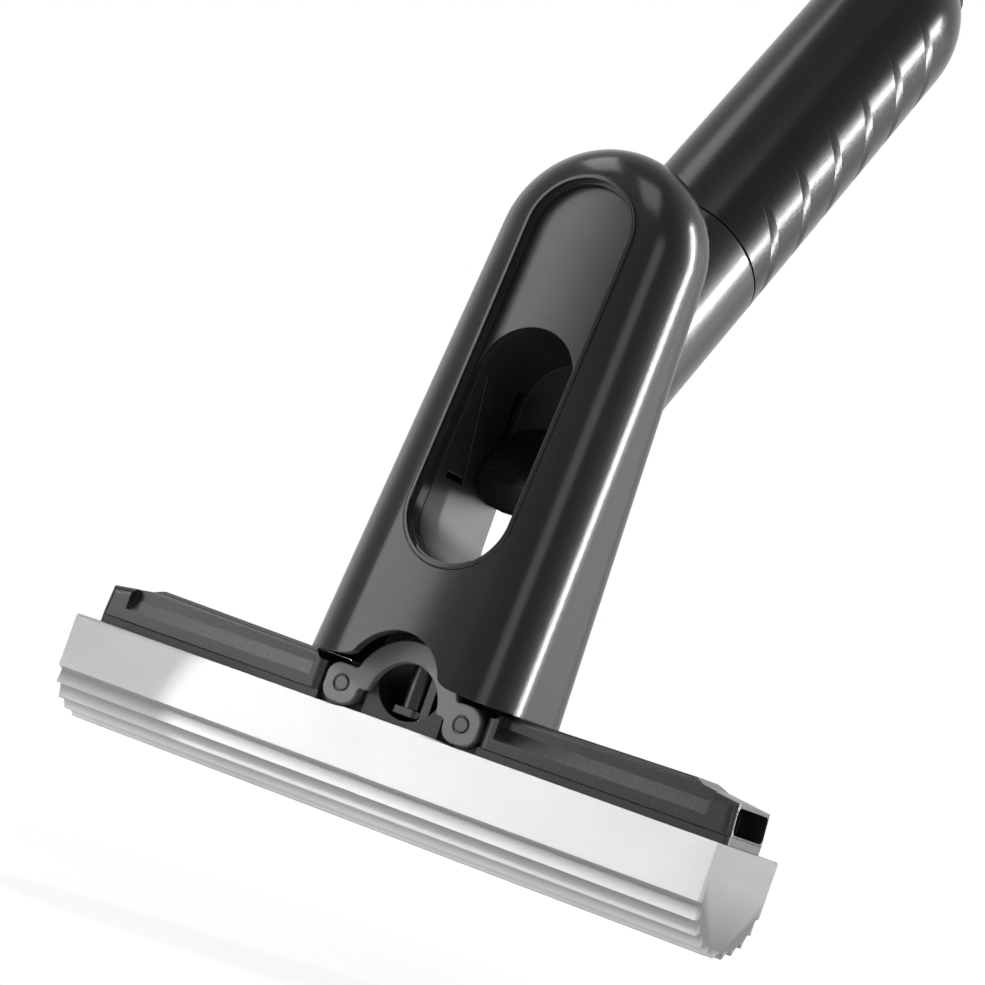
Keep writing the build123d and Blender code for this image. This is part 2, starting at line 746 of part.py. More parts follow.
def wing_cover_part(sign):
    """Cover of one wing: a bevelled bar, hollow below and open at its outer end."""
    tip = sponge_length / 2
    outline = [
        (wing_start, tongue_low),
        (wing_end, tongue_low),
        (tip - wing_nose_inset, deck + wing_nose_height),
        (tip - wing_shoulder_inset, deck + wing_shoulder_height),
        (tip - wing_crest_inset, deck + wing_crest_height),
        (wing_start, deck + wing_root_height),
    ]
    bevel_side = wing_depth / 2 - bevel_run
    bevel_top = deck + bevel_foot_height + bevel_rise
    with BuildPart() as cover:
        with BuildSketch(front_plane(0)):
            Polygon(*[(sign * x, z) for x, z in outline], align=None)
        extrude(amount=wing_depth / 2, both=True)
        side_edges = cover.edges().filter_by(lambda e: abs(abs(e.center().Y) - wing_depth / 2) < fit)
        long_edges = side_edges.filter_by(lambda e: e.center().Z > tongue_low + plate_thickness)
        fillet(long_edges, wing_edge_radius)
        with BuildSketch(side_plane(sign * bevel_start)):
            for face in (-1, 1):
                Polygon(
                    (face * wing_depth, deck + bevel_foot_height - bevel_rise),
                    (face * (wing_depth / 2 + bevel_run), deck + bevel_foot_height - bevel_rise),
                    (face * bevel_side, bevel_top),
                    (face * bevel_side, bevel_top + wing_crest_height),
                    (face * wing_depth, bevel_top + wing_crest_height),
                    align=None,
                )
        extrude(amount=sign * (tip - bevel_end_inset - bevel_start), mode=Mode.SUBTRACT)
        bevel_edges = cover.edges().filter_by(lambda e: abs(abs(e.center().Y) - bevel_side) < fit)
        crest = bevel_edges.filter_by(
            lambda e: e.length > wing_crest_inset and e.center().Z > bevel_top + fit
        )
        fillet(crest, bevel_edge_radius)
        with BuildSketch(Plane.XY.offset(tongue_low)):
            with Locations((sign * (wing_start + tip - bevel_end_inset) / 2, 0)):
                Rectangle(tip - bevel_end_inset - wing_start - 2 * wing_wall, hollow_width)
        extrude(amount=hollow_height - plate_thickness, mode=Mode.SUBTRACT)
        with BuildSketch(side_plane(sign * (tip - bevel_end_inset + fit))):
            with Locations((0, deck + mouth_sill + mouth_height / 2)):
                RectangleRounded(mouth_width, mouth_height, mouth_radius)
        extrude(amount=sign * bevel_end_inset, mode=Mode.SUBTRACT)
        with BuildSketch(side_plane(sign * (tip - bevel_end_inset + fit))):
            with Locations((0, deck + mouth_sill + mouth_height / 2)):
                RectangleRounded(
                    hollow_width - mouth_radius, mouth_height - mouth_radius, mouth_radius
                )
        extrude(amount=-2 * sign * wing_wall, mode=Mode.SUBTRACT)
        with BuildSketch(side_plane(sign * (wing_start - wing_wall))):
            with Locations((0, tongue_low)):
                Rectangle(hollow_width, tongue_thickness + fit, align=(Align.CENTER, Align.MIN))
        extrude(amount=sign * (tongue_end - wing_start + wing_wall + fit), mode=Mode.SUBTRACT)
        with BuildSketch(front_plane(0)):
            Polygon(
                (sign * (wing_start - wing_wall), deck + wing_relief_height),
                (sign * wing_relief_end, deck + wing_relief_height),
                (sign * (wing_relief_end + wing_relief_run), deck + wing_crest_height),
                (sign * (wing_start - wing_wall), deck + wing_crest_height),
                align=None,
            )
        extrude(amount=wing_depth, both=True, mode=Mode.SUBTRACT)
        with BuildSketch(Plane.XY.offset(tongue_low)):
            with Locations(*[(sign * x, 0) for x in wing_screw_stations]):
                Circle(wing_boss_radius)
        extrude(amount=hollow_height - plate_thickness)
        with BuildSketch(Plane.XY.offset(tongue_low)):
            with Locations(*[(sign * x, 0) for x in wing_screw_stations]):
                Circle(wing_screw_radius + fit)
        extrude(amount=wing_screw_bite + fit, mode=Mode.SUBTRACT)
    return cover


def backing_plate_part(sign):
    """Plate between a wing's cover and the sponge, narrow between the yoke plates."""
    with BuildPart() as plate:
        with BuildSketch(Plane.XY.offset(deck)):
            with Locations((sign * plate_start, 0)):
                Rectangle(
                    wing_start - plate_start + plate_thickness,
                    hub_width,
                    align=(Align.MIN if sign > 0 else Align.MAX, Align.CENTER),
                )
            with Locations((sign * wing_start, 0)):
                Rectangle(
                    plate_end - wing_start,
                    wing_depth - 2 * plate_side_inset,
                    align=(Align.MIN if sign > 0 else Align.MAX, Align.CENTER),
                )
        extrude(amount=plate_thickness)
        outer_corners = plate.edges().filter_by(Axis.Z).sort_by(Axis.X)
        fillet(outer_corners[-2:] if sign > 0 else outer_corners[:2], plate_corner)
        with BuildSketch(Plane.XY.offset(deck)):
            with Locations(*[(sign * x, 0) for x in screw_places]):
                Circle(wing_screw_radius + fit)
        extrude(amount=plate_thickness, mode=Mode.SUBTRACT)
        with BuildSketch(Plane.XY.offset(deck)):
            with Locations(*[(sign * x, 0) for x in screw_places]):
                Circle(wing_screw_head_radius + fit)
        extrude(amount=screw_head_height, mode=Mode.SUBTRACT)
    return plate


def hinge_bracket_part(sign):
    """Hinge hub that turns on the pin between the yoke plates, with its tongue."""
    with BuildPart() as bracket:
        with BuildSketch(front_plane(-hub_width / 2)):
            with Locations((sign * pin_offset, pin_z)):
                Circle(hub_radius)
        extrude(amount=-hub_width)
        with BuildSketch(Plane.XY.offset(tongue_low)):
            with Locations((sign * pin_offset, 0)):
                Rectangle(
                    tongue_end - pin_offset,
                    tongue_width,
                    align=(Align.MIN if sign > 0 else Align.MAX, Align.CENTER),
                )
        extrude(amount=tongue_thickness)
        with BuildSketch(Plane.XY.offset(deck)):
            Rectangle(4 * pin_offset, wing_depth)
        extrude(amount=plate_thickness, mode=Mode.SUBTRACT)
        with BuildSketch(front_plane(-hub_width / 2)):
            with Locations((sign * pin_offset, pin_z)):
                Circle(pin_radius + pin_clearance)
        extrude(amount=-hub_width, mode=Mode.SUBTRACT)
        with BuildSketch(Plane.XY.offset(tongue_low)):
            with Locations((sign * tongue_screw_x, 0)):
                Circle(wing_screw_radius + fit)
        extrude(amount=tongue_thickness, mode=Mode.SUBTRACT)
    return bracket


def wing_screws_part(sign):
    """Screws that hold a wing's plate to its hinge tongue and its cover."""
    with BuildPart() as screws:
        with BuildSketch(Plane.XY.offset(deck)):
            with Locations(*[(sign * x, 0) for x in screw_places]):
                Circle(wing_screw_head_radius)
        extrude(amount=screw_head_height)
        with BuildSketch(Plane.XY.offset(deck)):
            with Locations((sign * tongue_screw_x, 0)):
                Circle(wing_screw_radius)
        extrude(amount=plate_thickness + tongue_thickness)
        with BuildSketch(Plane.XY.offset(deck)):
            with Locations(*[(sign * x, 0) for x in wing_screw_stations]):
                Circle(wing_screw_radius)
        extrude(amount=plate_thickness + wing_screw_bite)
        with BuildSketch(Plane.XY.offset(deck)):
            with Locations(*[(sign * x, 0) for x in screw_places]):
                Rectangle(wing_screw_head_radius, wing_screw_head_radius / 4)
                Rectangle(wing_screw_head_radius / 4, wing_screw_head_radius)
        extrude(amount=screw_head_height / 2, mode=Mode.SUBTRACT)
    return screws


def sponge_part(x_from, x_to):
    """Length of sponge: straight flanks and a rounded foot with a narrow flat land."""
    half = sponge_depth / 2
    land = sponge_land / 2
    flank_z = sponge_height - sponge_flank
    with BuildPart() as sponge:
        with BuildSketch(side_plane(x_from)):
            with BuildLine():
                Line((-half, flank_z), (-half, sponge_height))
                Line((-half, sponge_height), (half, sponge_height))
                Line((half, sponge_height), (half, flank_z))
                EllipticalCenterArc(
                    (land, flank_z), half - land, flank_z, -quarter_turn, arc_size=quarter_turn
                )
                Line((land, 0), (-land, 0))
                EllipticalCenterArc(
                    (-land, flank_z), half - land, flank_z, 2 * quarter_turn, arc_size=quarter_turn
                )
            make_face()
        extrude(amount=x_to - x_from)
    return sponge


for side, sign in (("left", -1), ("right", 1)):
    finish(wing_cover_part(sign), f"wing_cover_{side}")
    finish(backing_plate_part(sign), f"backing_plate_{side}")
    finish(hinge_bracket_part(sign), f"hinge_bracket_{side}")
    finish(wing_screws_part(sign), f"wing_screws_{side}")

finish(sponge_part(-sponge_length / 2, sponge_split - sponge_gap / 2), "sponge_left")
finish(sponge_part(sponge_split + sponge_gap / 2, sponge_length / 2), "sponge_right")

# ---------------------------------------------------------------- handle
tilt = radians(handle_angle)
handle_axis = Axis((0, seam_y, deck + seam_height), (0, sin(tilt), cos(tilt)))
handle_side = Plane(
    origin=(0, seam_y, deck + seam_height),
    x_dir=(1, 0, 0),
    z_dir=(0, -cos(tilt), sin(tilt)),
)
under = Vector(0, cos(tilt), -sin(tilt))


def nose_radius(station):
    """Grip's radius at a station on its rounded end."""
    past_straight = station - grip_straight_length
    return handle_radius - grip_nose_curve + sqrt(grip_nose_curve**2 - past_straight**2)


def handle_tube(outer, inner, start, end):
    """Plain tube along the handle between two stations."""
    with BuildPart() as tube:
        with BuildSketch(handle_plane(start)):
            Circle(outer)
            Circle(inner, mode=Mode.SUBTRACT)
        extrude(amount=end - start)
    return tube


core_tube = handle_tube(tube_radius, tube_radius - tube_wall, -tube_inside, tube_end)
seam_ring = handle_tube(seam_ring_radius, tube_radius + fit, 0, seam_ring_thickness)

groove_lean = radians(groove_tilt)
groove_shift = groove_depth / (1 + sin(radians(groove_fade)))
groove_shrink = groove_shift * sin(radians(groove_fade))


def groove_plane(station):
    """Slanting plane through the handle's axis at a station, tipped towards the underside."""
    return Plane(
        origin=handle_axis.position + handle_axis.direction * station,
        x_dir=(1, 0, 0),
        z_dir=handle_axis.direction * cos(groove_lean) + under * sin(groove_lean),
    )


def groove_solid(edge):
    """One grip groove: a crescent step at its edge that ramps back out to the surface."""
    sections = ((0, 1), (groove_hollow, groove_hollow_share), (1, 0))
    with BuildPart() as groove:
        with BuildSketch(groove_plane(edge)):
            Circle(3 * handle_radius)
        extrude(amount=groove_run * cos(groove_lean))
        for place, share in sections:
            radius = handle_radius + (1 - share) * fit - share * groove_shrink
            with BuildSketch(groove_plane(edge + place * groove_run)):
                with Locations((0, -share * groove_shift / cos(groove_lean))):
                    Ellipse(radius, radius / cos(groove_lean))
        loft(mode=Mode.SUBTRACT)
    return groove.part


with BuildPart() as grip_sleeve:
    with BuildSketch(handle_side):
        with BuildLine():
            Line((tube_radius + fit, seam_ring_thickness), (handle_radius, seam_ring_thickness))
            Line((handle_radius, seam_ring_thickness), (handle_radius, grip_straight_length))
            nose_middle = (grip_straight_length + cap_start) / 2
            ThreePointArc(
                (handle_radius, grip_straight_length),
                (nose_radius(nose_middle), nose_middle),
                (nose_radius(cap_start), cap_start),
            )
            Line((nose_radius(cap_start), cap_start), (cap_stem_radius + fit, cap_start))
            Line((cap_stem_radius + fit, cap_start), (cap_stem_radius + fit, tube_end + fit))
            Line((cap_stem_radius + fit, tube_end + fit), (tube_radius + fit, tube_end + fit))
            Line((tube_radius + fit, tube_end + fit), (tube_radius + fit, seam_ring_thickness))
        make_face()
    revolve(axis=handle_axis)
    for turn in range(groove_count):
        add(groove_solid(groove_first + turn * groove_pitch), mode=Mode.SUBTRACT)

with BuildPart() as grip_end_cap:
    with BuildSketch(handle_plane(cap_start)):
        Circle(nose_radius(cap_start))
    extrude(amount=cap_length)
    fillet(grip_end_cap.edges().filter_by(GeomType.CIRCLE).sort_by(Axis.Z)[-1], cap_corner)
    with BuildSketch(handle_plane(cap_start)):
        with Locations((cap_flat, 0)):
            Rectangle(handle_radius, 2 * handle_radius, align=(Align.MIN, Align.CENTER))
        with Locations((-cap_flat, 0)):
            Rectangle(handle_radius, 2 * handle_radius, align=(Align.MAX, Align.CENTER))
    extrude(amount=cap_length, mode=Mode.SUBTRACT)
    with BuildSketch(handle_plane(cap_start)):
        Circle(cap_stem_radius)
    extrude(amount=-cap_stem_length)
    hole_centre = handle_plane(cap_start + cap_length - hanging_hole_inset).origin
    with BuildSketch(Plane(origin=hole_centre, x_dir=(0, 1, 0), z_dir=(1, 0, 0))):
        Circle(hanging_hole_radius)
    extrude(amount=2 * cap_flat, both=True, mode=Mode.SUBTRACT)

screw_foot = handle_plane(-neck_screw_station).origin + under * handle_radius
screw_plane = Plane(origin=screw_foot, x_dir=(1, 0, 0), z_dir=-under)
neck_screw_length = handle_radius - tube_radius + 2 * tube_wall
with BuildPart() as neck_screw:
    with BuildSketch(screw_plane.offset(neck_screw_sink)):
        Circle(neck_screw_head_radius)
    extrude(amount=neck_screw_head_height)
    with BuildSketch(screw_plane.offset(neck_screw_sink)):
        Circle(neck_screw_radius)
    extrude(amount=neck_screw_length)

with BuildPart() as screw_hole:
    with BuildSketch(screw_plane.offset(-neck_screw_head_height)):
        Circle(neck_screw_head_radius + fit)
    extrude(amount=neck_screw_sink + 2 * neck_screw_head_height + fit)
    with BuildSketch(screw_plane):
        Circle(neck_screw_radius + fit)
    extrude(amount=neck_screw_sink + neck_screw_length + fit)

with BuildPart() as neck_bush:
    with BuildSketch(handle_plane(-bush_start)):
        Circle(handle_radius - neck_wall - fit)
        Circle(tube_radius + fit, mode=Mode.SUBTRACT)
    extrude(amount=bush_length)
    add(screw_hole.part, mode=Mode.SUBTRACT)

with BuildPart() as drilled_tube:
    add(core_tube.part)
    add(screw_hole.part, mode=Mode.SUBTRACT)

with BuildPart() as drilled_rear:
    add(rear_housing.part)
    add(screw_hole.part, mode=Mode.SUBTRACT)

finish(drilled_rear, "rear_housing")
finish(drilled_tube, "core_tube")
finish(neck_bush, "neck_bush")
finish(neck_screw, "neck_screw")
finish(seam_ring, "seam_ring")
finish(grip_sleeve, "grip_sleeve")
finish(grip_end_cap, "grip_end_cap")
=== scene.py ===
"""Studio scene of a hand-held window wiper with a folding sponge head. All sizes are in metres."""
import bpy
import bmesh
import json
import math
from mathutils import Matrix, Vector


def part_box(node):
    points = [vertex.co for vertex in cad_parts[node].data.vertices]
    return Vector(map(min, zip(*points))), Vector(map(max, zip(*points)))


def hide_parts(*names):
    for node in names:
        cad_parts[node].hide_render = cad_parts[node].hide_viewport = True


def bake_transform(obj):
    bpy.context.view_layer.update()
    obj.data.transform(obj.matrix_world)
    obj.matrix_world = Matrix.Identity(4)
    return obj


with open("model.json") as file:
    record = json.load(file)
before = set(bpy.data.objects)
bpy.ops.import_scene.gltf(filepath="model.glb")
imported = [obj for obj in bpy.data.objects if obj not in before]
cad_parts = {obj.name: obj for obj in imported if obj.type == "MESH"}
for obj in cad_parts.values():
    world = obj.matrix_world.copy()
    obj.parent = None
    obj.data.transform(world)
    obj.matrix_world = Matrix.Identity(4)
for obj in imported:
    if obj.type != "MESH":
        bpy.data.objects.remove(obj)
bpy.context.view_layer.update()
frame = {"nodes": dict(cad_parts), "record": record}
nodes = frame["nodes"]
scene = bpy.context.scene

# ---------------------------------------------------------------- view
camera_azimuth = math.radians(30.49)
camera_elevation = math.radians(-3.97)
camera_roll = math.radians(19.48)
camera_distance = 0.6785
camera_aim = Vector((-0.0013, 0.0, 0.0736))
camera_angle = math.radians(17.06)

back = Vector((
    math.sin(camera_azimuth) * math.cos(camera_elevation),
    -math.cos(camera_azimuth) * math.cos(camera_elevation),
    math.sin(camera_elevation),
))
level_right = Vector((math.cos(camera_azimuth), math.sin(camera_azimuth), 0.0))
level_up = back.cross(level_right)
right = math.cos(camera_roll) * level_right + math.sin(camera_roll) * level_up
up = math.cos(camera_roll) * level_up - math.sin(camera_roll) * level_right

camera_data = bpy.data.cameras.new("camera")
camera = bpy.data.objects.new("camera", camera_data)
scene.collection.objects.link(camera)
turn = Matrix((right, up, back)).transposed().to_4x4()
camera.matrix_world = Matrix.Translation(camera_aim + back * camera_distance) @ turn
camera_data.angle = camera_angle
camera_data.clip_start = 0.01
camera_data.clip_end = 50.0
scene.camera = camera
scene.view_settings.view_transform = "Standard"


# ---------------------------------------------------------------- materials
def linear(display):
    """Linear colour of a grey or of three display values from 0 to 255."""
    shares = [part / 255 for part in (display if isinstance(display, tuple) else (display,) * 3)]
    return (*[c / 12.92 if c <= 0.04045 else ((c + 0.055) / 1.055) ** 2.4 for c in shares], 1.0)


cloud_start = 0.3  # part of a noise that is spread over its colours
cloud_end = 0.7
cloud_scale = 60.0  # scales are cells in a metre
ripple_scale = 240.0
ripple_share = 1.5  # how deep the ripple is, as a share of the grain
grain_scale = 2600.0
gloss_below = 0.05  # how far the roughness strays
gloss_above = 0.06
edge_break = 0.00028  # radius that the plastics' and metals' edges are shaded with
edge_samples = 6
housing_crown = 0.1  # radius that the housing's flat faces are shaded with


class Finish:
    """A material under construction, with its shader and the object's own coordinates."""

    def __init__(self, name, roughness=0.4, metallic=0.0, specular=0.5):
        self.material = bpy.data.materials.new(name)
        self.material.use_nodes = True
        self.tree = self.material.node_tree
        self.shader = self.tree.nodes["Principled BSDF"]
        self.shader.inputs["Roughness"].default_value = roughness
        self.shader.inputs["Metallic"].default_value = metallic
        self.shader.inputs["Specular IOR Level"].default_value = specular
        self.place = self.tree.nodes.new("ShaderNodeTexCoord").outputs["Object"]

    def noise(self, scale, detail, roughness=0.5):
        """Cloudy noise from 0 to 1, with so many cells in a metre."""
        node = self.tree.nodes.new("ShaderNodeTexNoise")
        node.inputs["Scale"].default_value = scale
        node.inputs["Detail"].default_value = detail
        node.inputs["Roughness"].default_value = roughness
        self.tree.links.new(self.place, node.inputs["Vector"])
        return node.outputs["Fac"]

    def cells(self, scale):
        """Distance from the middle of each of the cells, with so many in a metre."""
        node = self.tree.nodes.new("ShaderNodeTexVoronoi")
        node.inputs["Scale"].default_value = scale
        self.tree.links.new(self.place, node.inputs["Vector"])
        return node.outputs["Distance"]

    def ramp(self, source, *stops):
        """Colours spread over a source, from stops of (position, display colour)."""
        node = self.tree.nodes.new("ShaderNodeValToRGB")
        band = node.color_ramp
        while len(band.elements) < len(stops):
            band.elements.new(0.5)
        for element, (position, colour) in zip(band.elements, stops):
            element.position = position
            element.color = linear(colour)
        self.tree.links.new(source, node.inputs["Fac"])
        return node.outputs["Color"]

    def span(self, source, low, high):
        """Spreads the middle of a noise between two values."""
        node = self.tree.nodes.new("ShaderNodeMapRange")
        node.inputs["From Min"].default_value = cloud_start
        node.inputs["From Max"].default_value = cloud_end
        node.inputs["To Min"].default_value = low
        node.inputs["To Max"].default_value = high
        self.tree.links.new(source, node.inputs["Value"])
        return node.outputs["Result"]

    def crown(self, radius):
        """Height of a face that is very slightly rounded across the housing."""
        parts = self.tree.nodes.new("ShaderNodeSeparateXYZ")
        self.tree.links.new(self.place, parts.inputs["Vector"])
        square = self.tree.nodes.new("ShaderNodeMath")
        square.operation = "MULTIPLY"
        self.tree.links.new(parts.outputs["X"], square.inputs[0])
        self.tree.links.new(parts.outputs["X"], square.inputs[1])
        height = self.tree.nodes.new("ShaderNodeMath")
        height.operation = "MULTIPLY"
        height.inputs[1].default_value = -0.5 / radius
        self.tree.links.new(square.outputs["Value"], height.inputs[0])
        return height.outputs["Value"]

    def painted_shade_mix(self, source, attribute, colour):
        """Mixes a colour of painted shade in where the mesh says that its surface lies deeper."""
        shade_share = self.tree.nodes.new("ShaderNodeAttribute")
        shade_share.attribute_name = attribute
        node = self.tree.nodes.new("ShaderNodeMix")
        node.data_type = "RGBA"
        self.tree.links.new(shade_share.outputs["Fac"], node.inputs["Factor"])
        self.tree.links.new(source, node.inputs["A"])
        node.inputs["B"].default_value = linear(colour)
        return node.outputs["Result"]

    def colour(self, source):
        self.tree.links.new(source, self.shader.inputs["Base Color"])

    def rough(self, source):
        self.tree.links.new(source, self.shader.inputs["Roughness"])

    def bump(self, *layers, edge=None):
        """Stacks layers of (height source, distance in metres), over edges broken by a radius."""
        previous = None
        if edge:
            bevel = self.tree.nodes.new("ShaderNodeBevel")
            bevel.samples = edge_samples
            bevel.inputs["Radius"].default_value = edge
            previous = bevel.outputs["Normal"]
        for source, distance in layers:
            node = self.tree.nodes.new("ShaderNodeBump")
            node.inputs["Strength"].default_value = 1.0
            node.inputs["Distance"].default_value = distance
            self.tree.links.new(source, node.inputs["Height"])
            if previous:
                self.tree.links.new(previous, node.inputs["Normal"])
            previous = node.outputs["Normal"]
        self.tree.links.new(previous, self.shader.inputs["Normal"])


def moulded(
    name, grey, roughness, grain=0.000001, metallic=0.0, specular=0.5, spread=4, crown=None
):
    """Plastic or metal with a fine grain and faint clouding in its colour and gloss."""
    finish = Finish(name, roughness, metallic, specular)
    cloud = finish.noise(cloud_scale, 4.0)
    fine = finish.noise(grain_scale, 2.0, 0.6)
    finish.colour(finish.ramp(cloud, (cloud_start, grey - spread), (cloud_end, grey + spread)))
    finish.rough(finish.span(fine, roughness - gloss_below, roughness + gloss_above))
    layers = [(fine, grain), (finish.noise(ripple_scale, 2.0), grain * ripple_share)]
    if crown:
        layers.insert(0, (finish.crown(crown), 1.0))
    finish.bump(*layers, edge=edge_break)
    return finish


finishes = {
    "shell": moulded("shell_plastic", 38, 0.2, specular=0.4, spread=2, crown=housing_crown),
    "panel": moulded(
        "panel_paint", 54, 0.36, grain=0.000003, metallic=0.3, specular=0.6, crown=housing_crown
    ),
    "liner": moulded("liner_plastic", 42, 0.34, specular=0.6),
    "trigger": moulded("trigger_plastic", 22, 0.3, specular=0.35, spread=2),
    "yoke": moulded("yoke_metal", 108, 0.4, metallic=0.3),
    "block": moulded("block_plastic", 34, 0.4, spread=2),
    "wing": moulded("wing_plastic", 36, 0.3, specular=0.55, spread=2),
    "plate": moulded("plate_plastic", 40, 0.4, spread=2),
    "pin": moulded("pin_metal", 90, 0.35, metallic=0.8),
    "steel": moulded("steel_bright", 175, 0.24, metallic=1.0),
    "tube": moulded("tube_metal", 160, 0.32, metallic=1.0),
    "grip": moulded("grip_plastic", 34, 0.22, specular=0.24, spread=2),
    "rubber": moulded("seam_rubber", 16, 0.6, spread=2),
}
rod_finish = moulded("rod_dark", 30, 0.22, specular=0.6, spread=2)
for part in frame["record"]["subparts"]:
    finish = rod_finish if part["node"] == "link_rod" else finishes.get(part["material_slot"])
    if finish:
        node = nodes[part["node"]]
        node.data.materials.clear()
        node.data.materials.append(finish.material)

sponge_dull = (236, 233, 233)
sponge_bright = (244, 241, 241)
# painted shade: the grey that the flutes' hollows are darkened towards
sponge_painted_shade = (168, 165, 166)
foam_depth = 0.00006
pore_depth = 0.00005

sponge_finish = Finish("sponge_pva", roughness=0.75, specular=0.3)
sponge_cloud = sponge_finish.noise(45.0, 4.0)
sponge_white = sponge_finish.ramp(
    sponge_cloud, (cloud_start, sponge_dull), (cloud_end, sponge_bright)
)
# the flutes' hollows get painted shade in the sponge's colour
sponge_finish.colour(sponge_finish.painted_shade_mix(sponge_white, "flute_depth", sponge_painted_shade))
foam = sponge_finish.noise(1800.0, 4.0, 0.65)
pores = sponge_finish.cells(1500.0)
sponge_finish.bump((foam, foam_depth), (pores, pore_depth))


# ---------------------------------------------------------------- sponge
sponge_land = 0.003  # flat strip along the working face
sponge_flank = 0.0108  # straight side below the head
flute_pitch = 0.0039
flute_depth = 0.0013
flute_turn = 0.8  # where in a flute it is deepest
flute_count = 5  # on each side of the foot
edge_soft = 0.0005
edge_steps = 4
arc_steps = 400
flank_steps = 30
profile_step = 0.00028  # least length of the outline's edges
blend_end = 0.022
inner_end = -0.0002  # where the halves meet, beside the middle
fine_station = 0.001
long_station = 0.004
coplanar_step = 0.00005  # one half is slimmer, so that their faces don't coincide
swell_run = 0.002  # beside the yoke's block, where the swell runs out
waist = 0.0002  # taken off at the middle
crease_angle = math.radians(50)


def sponge_profile(half_depth, height):
    """Outline of the sponge across its length, fluted round its foot.

    Its points are (y, z), each with a share of painted shade from 0 to 1, set by where in a flute
    it lies.
    """
    land = sponge_land / 2
    run = half_depth - land
    rise = height - sponge_flank
    length = land
    last = Vector((land, 0.0))
    quarter = [(Vector((0.0, 0.0)), Vector((0.0, -1.0)), 0.0)]
    for i in range(arc_steps + 1):
        a = math.pi / 2 * i / arc_steps
        p = Vector((land + run * math.sin(a), rise - rise * math.cos(a)))
        n = Vector((math.sin(a) / run, -math.cos(a) / rise)).normalized()
        length += (p - last).length
        last = p
        quarter.append((p, n, length))
    top = height - edge_soft
    for i in range(1, flank_steps + 1):
        p = Vector((half_depth, rise + (top - rise) * i / flank_steps))
        length += (p - last).length
        last = p
        quarter.append((p, Vector((1.0, 0.0)), length))
    points = []
    for p, n, s in quarter:
        u = (s / flute_pitch) % 1
        hollow = 1 - (1 - u / flute_turn) ** 2 if u < flute_turn else (1 - u) / (1 - flute_turn)
        # share of painted shade: it grows into each flute and is full on its steep wall
        shade = hollow**2 if u < flute_turn else 1.0
        if s > flute_count * flute_pitch:
            hollow = shade = 0.0
        points.append((p - n * flute_depth * hollow, shade))
    thinned = [points[0]]
    for q, shade in points[1:]:
        if (q - thinned[-1][0]).length >= profile_step:
            thinned.append((q, shade))
    for i in range(1, edge_steps + 1):
        a = math.pi / 2 * i / edge_steps
        q = Vector((half_depth - edge_soft * (1 - math.cos(a)), top + edge_soft * math.sin(a)))
        thinned.append((q, 0.0))
    left = [(Vector((-q.x, q.y)), shade) for q, shade in reversed(thinned[1:])]
    return left + thinned


def add_piece(name, mesh, finish):
    """A smooth piece with creases. The mesh is used up."""
    data = bpy.data.meshes.new(name)
    mesh.to_mesh(data)
    mesh.free()
    for polygon in data.polygons:
        polygon.use_smooth = True
    data.set_sharp_from_angle(angle=crease_angle)
    data.materials.append(finish.material)
    piece = bpy.data.objects.new(name, data)
    scene.collection.objects.link(piece)
    return piece


def skin(mesh, rings):
    """Joins rings of vertices into a closed tube. It returns the faces at the ends."""
    for a, b in zip(rings, rings[1:]):
        for i in range(len(a)):
            j = (i + 1) % len(a)
            mesh.faces.new((a[i], a[j], b[j], b[i]))
    ends = [mesh.faces.new(ring) for ring in (rings[0], rings[-1])]
    bmesh.ops.recalc_face_normals(mesh, faces=mesh.faces)
    return ends


def sponge_half(name, node, outer_sign, narrow):
    """One half of the sponge, lofted along X, with a soft edge at its outer end.

    It swells up to the yoke's block, which closes the gap that the two solids keep. It is a
    little slimmer at the middle, so that the layers of its fold lie behind one another.
    """
    low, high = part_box(node)
    block_low, block_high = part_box("yoke_block")
    outer = high.x if outer_sign > 0 else low.x
    profile = sponge_profile(high.y - narrow, high.z)
    stations = []
    x = inner_end
    while (outer - x) * outer_sign > long_station:
        stations.append((x, 0.0))
        bends = abs(x) < blend_end + 2 * fine_station
        x += outer_sign * (fine_station if bends else long_station)
    for i in range(edge_steps + 1):
        a = math.pi / 2 * i / edge_steps
        x = outer - outer_sign * edge_soft * (1 - math.sin(a))
        stations.append((x, edge_soft * (1 - math.cos(a))))
    centre = Vector((0.0, high.z / 2))
    mesh = bmesh.new()
    rings = []
    for x, inset in stations:
        ring = []
        past_block = min(max((abs(x) - block_high.x) / swell_run, 0.0), 1.0)
        swell = (block_low.z - high.z) * (1 - past_block)
        slim = 1 - waist / high.y * (1 - min(abs(x) / blend_end, 1.0))
        for q, shade in profile:
            toward = q - centre
            p = centre + toward * (1 - inset / toward.length)
            rise = swell if p.y > high.z - 2 * edge_soft else 0.0
            ring.append(mesh.verts.new((x, p.x * slim, p.y + rise)))
        rings.append(ring)
    bmesh.ops.triangulate(mesh, faces=skin(mesh, rings))
    piece = add_piece(name, mesh, sponge_finish)
    # the share of painted shade at each vertex, read by the sponge's colour
    shade_share = piece.data.attributes.new("flute_depth", "FLOAT", "POINT")
    shade_share.data.foreach_set("value", [shade for ring in rings for q, shade in profile])
    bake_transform(piece)
    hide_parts(node)


sponge_half("sponge_pad_right", "sponge_right", 1, 0.0)
sponge_half("sponge_pad_left", "sponge_left", -1, coplanar_step)


# ---------------------------------------------------------------- return spring
wire_radius = 0.00055
spring_turns = 7
turn_steps = 32
wire_sides = 10


